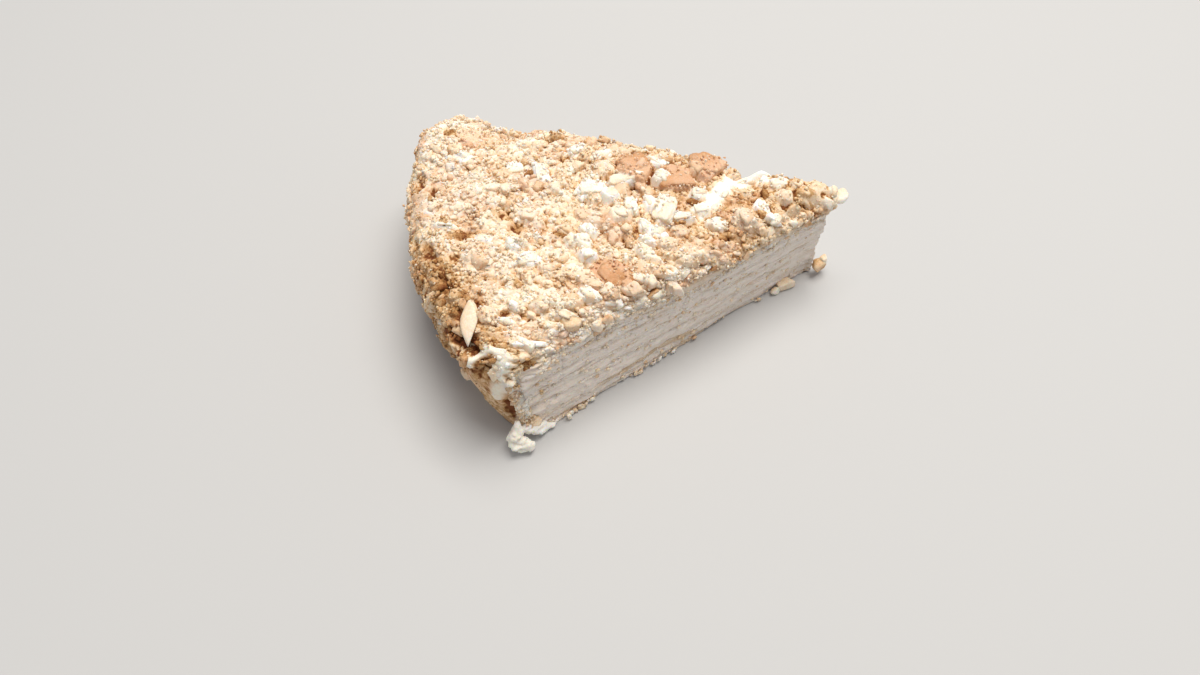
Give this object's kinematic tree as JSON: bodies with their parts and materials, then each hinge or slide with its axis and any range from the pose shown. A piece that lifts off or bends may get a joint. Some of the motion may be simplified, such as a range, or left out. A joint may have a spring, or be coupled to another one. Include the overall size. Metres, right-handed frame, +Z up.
{
  "type": "slice of napoleon cake",
  "caption": "Wedge slice of a round layered napoleon cake: thin baked pastry sheets with custard cream between them, coated in pastry crumbs on the top and the rim, standing on its base",
  "frame": {"origin": "On the surface the slice stands on, under the middle of its bounding box", "axes": "+Z up. +X toward the tip of the wedge, so the round rim faces -X. The front cut, the one the picture shows, faces -Y and the hidden back cut faces +Y"},
  "size_m": [0.1314, 0.1056, 0.0404],
  "materials": {
    "pastry": "thin baked flaky pastry, matte, tan to toasted gold",
    "cream": "custard cream soaked into the crumb, soft sheen, pale greyish ivory at the cut",
    "crumbs": "broken baked pastry crumbs, matte, ivory and pale gold with toasted tan pieces"
  },
  "bodies": {
    "root": {"sheet_1": "pastry", "cream_1": "cream", "sheet_2": "pastry", "cream_2": "cream", "sheet_3": "pastry", "cream_3": "cream", "sheet_4": "pastry", "cream_4": "cream", "sheet_5": "pastry", "cream_5": "cream", "sheet_6": "pastry", "cream_6": "cream", "crumb_coat": "crumbs"}
  },
  "joints": []
}
